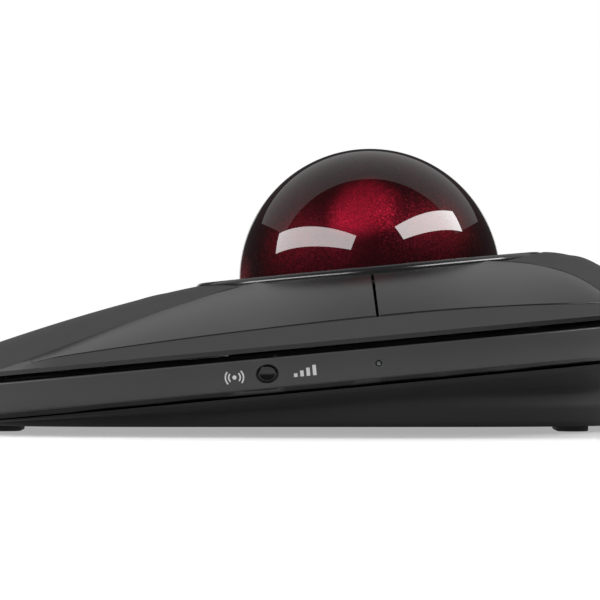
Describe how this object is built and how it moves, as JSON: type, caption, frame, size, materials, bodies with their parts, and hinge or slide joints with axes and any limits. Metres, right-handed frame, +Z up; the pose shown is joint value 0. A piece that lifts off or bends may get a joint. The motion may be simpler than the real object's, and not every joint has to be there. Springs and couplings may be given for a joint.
{
  "type": "trackball mouse",
  "caption": "Wireless ambidextrous trackball mouse: large ball in a bezel ring, hinged buttons on both sides, soft palm cover, side band and a wedge base.",
  "frame": {"origin": "on the desk under the middle of the body's footprint", "axes": "+X to the user's right, +Y away from the user, +Z up"},
  "size_m": [0.131, 0.1545, 0.0581],
  "materials": {
    "soft_touch_plastic": "soft-touch matte",
    "satin_plastic": "satin gloss",
    "band_plastic": "fine satin",
    "black_plastic": "black gloss",
    "base_plastic": "fine texture",
    "ball_resin": "deep red pearl under clear gloss",
    "ring_plastic": "polished",
    "ceramic": "polished ceramic",
    "lens_glass": "clear",
    "component_plastic": "moulded",
    "plunger_plastic": "moulded",
    "circuit_board": "solder mask",
    "battery_wrap": "foil pouch",
    "plated_steel": "plated",
    "foot_rubber": "matte"
  },
  "bodies": {
    "casing": {"palm_rest_cover": "soft_touch_plastic", "rear_cover": "soft_touch_plastic", "left_side_rim": "satin_plastic", "right_side_rim": "satin_plastic", "side_band": "band_plastic", "chassis": "black_plastic", "bottom_case": "base_plastic", "ball_cup": "black_plastic", "ball_ring": "ring_plastic", "rear_support_ball": "ceramic", "rear_support_seat": "component_plastic", "front_left_support_ball": "ceramic", "front_left_support_seat": "component_plastic", "front_right_support_ball": "ceramic", "front_right_support_seat": "component_plastic", "left_sensor_lens": "lens_glass", "left_optical_sensor": "component_plastic", "left_sensor_board": "circuit_board", "left_switch_board": "circuit_board", "front_left_switch": "component_plastic", "rear_left_switch": "component_plastic", "right_sensor_lens": "lens_glass", "right_optical_sensor": "component_plastic", "right_sensor_board": "circuit_board", "right_switch_board": "circuit_board", "front_right_switch": "component_plastic", "rear_right_switch": "component_plastic", "side_button_switch": "component_plastic", "side_button_board": "circuit_board", "status_led": "lens_glass", "status_light_pipe": "lens_glass", "battery": "battery_wrap", "main_board": "circuit_board", "radio_module": "plated_steel", "controller_chip": "component_plastic", "usb_c_socket": "plated_steel", "usb_c_tongue": "component_plastic", "mode_switch_body": "plated_steel", "front_left_foot": "foot_rubber", "front_left_case_screw": "plated_steel", "front_right_foot": "foot_rubber", "front_right_case_screw": "plated_steel", "rear_left_foot": "foot_rubber", "rear_left_case_screw": "plated_steel", "rear_right_foot": "foot_rubber", "rear_right_case_screw": "plated_steel"},
    "front_left_button": {"front_left_button": "satin_plastic"},
    "rear_left_button": {"rear_left_button": "satin_plastic"},
    "front_right_button": {"front_right_button": "satin_plastic"},
    "rear_right_button": {"rear_right_button": "satin_plastic"},
    "ball": {"ball": "ball_resin"},
    "front_left_plunger": {"front_left_plunger": "plunger_plastic"},
    "rear_left_plunger": {"rear_left_plunger": "plunger_plastic"},
    "front_right_plunger": {"front_right_plunger": "plunger_plastic"},
    "rear_right_plunger": {"rear_right_plunger": "plunger_plastic"},
    "side_button": {"side_button": "black_plastic"},
    "side_button_plunger": {"side_button_plunger": "plunger_plastic"},
    "mode_switch_slider": {"mode_switch_slider": "component_plastic"}
  },
  "joints": [
    {"name": "ball_roll", "type": "hinge", "parent": "casing", "child": "ball", "pos_m": [0, 0.0179, 0.0307], "axis": [1, 0, 0], "continuous": true},
    {"name": "front_left_button_press", "type": "hinge", "parent": "casing", "child": "front_left_button", "pos_m": [0, -0.04986, 0.01424], "axis": [-1, 0, 0], "range_deg": [0, 0.75], "stiffness_Nm_per_rad": 3, "springref_deg": -0.57},
    {"name": "front_left_plunger_press", "type": "slide", "parent": "casing", "child": "front_left_plunger", "axis": [0, 0.0932, -0.9956], "range_m": [0, 0.00085]},
    {"name": "rear_left_button_press", "type": "hinge", "parent": "casing", "child": "rear_left_button", "pos_m": [0, 0.06358, 0.02559], "axis": [1, 0, 0], "range_deg": [0, 1.1], "stiffness_Nm_per_rad": 3, "springref_deg": -0.57},
    {"name": "rear_left_plunger_press", "type": "slide", "parent": "casing", "child": "rear_left_plunger", "axis": [0, 0.0932, -0.9956], "range_m": [0, 0.00085]},
    {"name": "front_right_button_press", "type": "hinge", "parent": "casing", "child": "front_right_button", "pos_m": [0, -0.04986, 0.01424], "axis": [-1, 0, 0], "range_deg": [0, 0.75], "stiffness_Nm_per_rad": 3, "springref_deg": -0.57},
    {"name": "front_right_plunger_press", "type": "slide", "parent": "casing", "child": "front_right_plunger", "axis": [0, 0.0932, -0.9956], "range_m": [0, 0.00085]},
    {"name": "rear_right_button_press", "type": "hinge", "parent": "casing", "child": "rear_right_button", "pos_m": [0, 0.06358, 0.02559], "axis": [1, 0, 0], "range_deg": [0, 1.1], "stiffness_Nm_per_rad": 3, "springref_deg": -0.57},
    {"name": "rear_right_plunger_press", "type": "slide", "parent": "casing", "child": "rear_right_plunger", "axis": [0, 0.0932, -0.9956], "range_m": [0, 0.00085]},
    {"name": "side_button_press", "type": "slide", "parent": "casing", "child": "side_button", "axis": [-1, 0, 0], "range_m": [0, 0.00045], "stiffness_N_per_m": 1500, "springref_m": -0.0002},
    {"name": "side_button_plunger_press", "type": "slide", "parent": "casing", "child": "side_button_plunger", "axis": [-1, 0, 0], "range_m": [0, 0.00045]},
    {"name": "mode_switch_slide", "type": "slide", "parent": "casing", "child": "mode_switch_slider", "axis": [1, 0, 0], "range_m": [-0.0025, 0.0025]}
  ],
  "couplings": [
    {"joint": "front_left_plunger_press", "follows": "front_left_button_press", "m_per_rad": 0.0618},
    {"joint": "rear_left_plunger_press", "follows": "rear_left_button_press", "m_per_rad": 0.0378},
    {"joint": "front_right_plunger_press", "follows": "front_right_button_press", "m_per_rad": 0.0618},
    {"joint": "rear_right_plunger_press", "follows": "rear_right_button_press", "m_per_rad": 0.0378},
    {"joint": "side_button_plunger_press", "follows": "side_button_press", "ratio": 1}
  ]
}
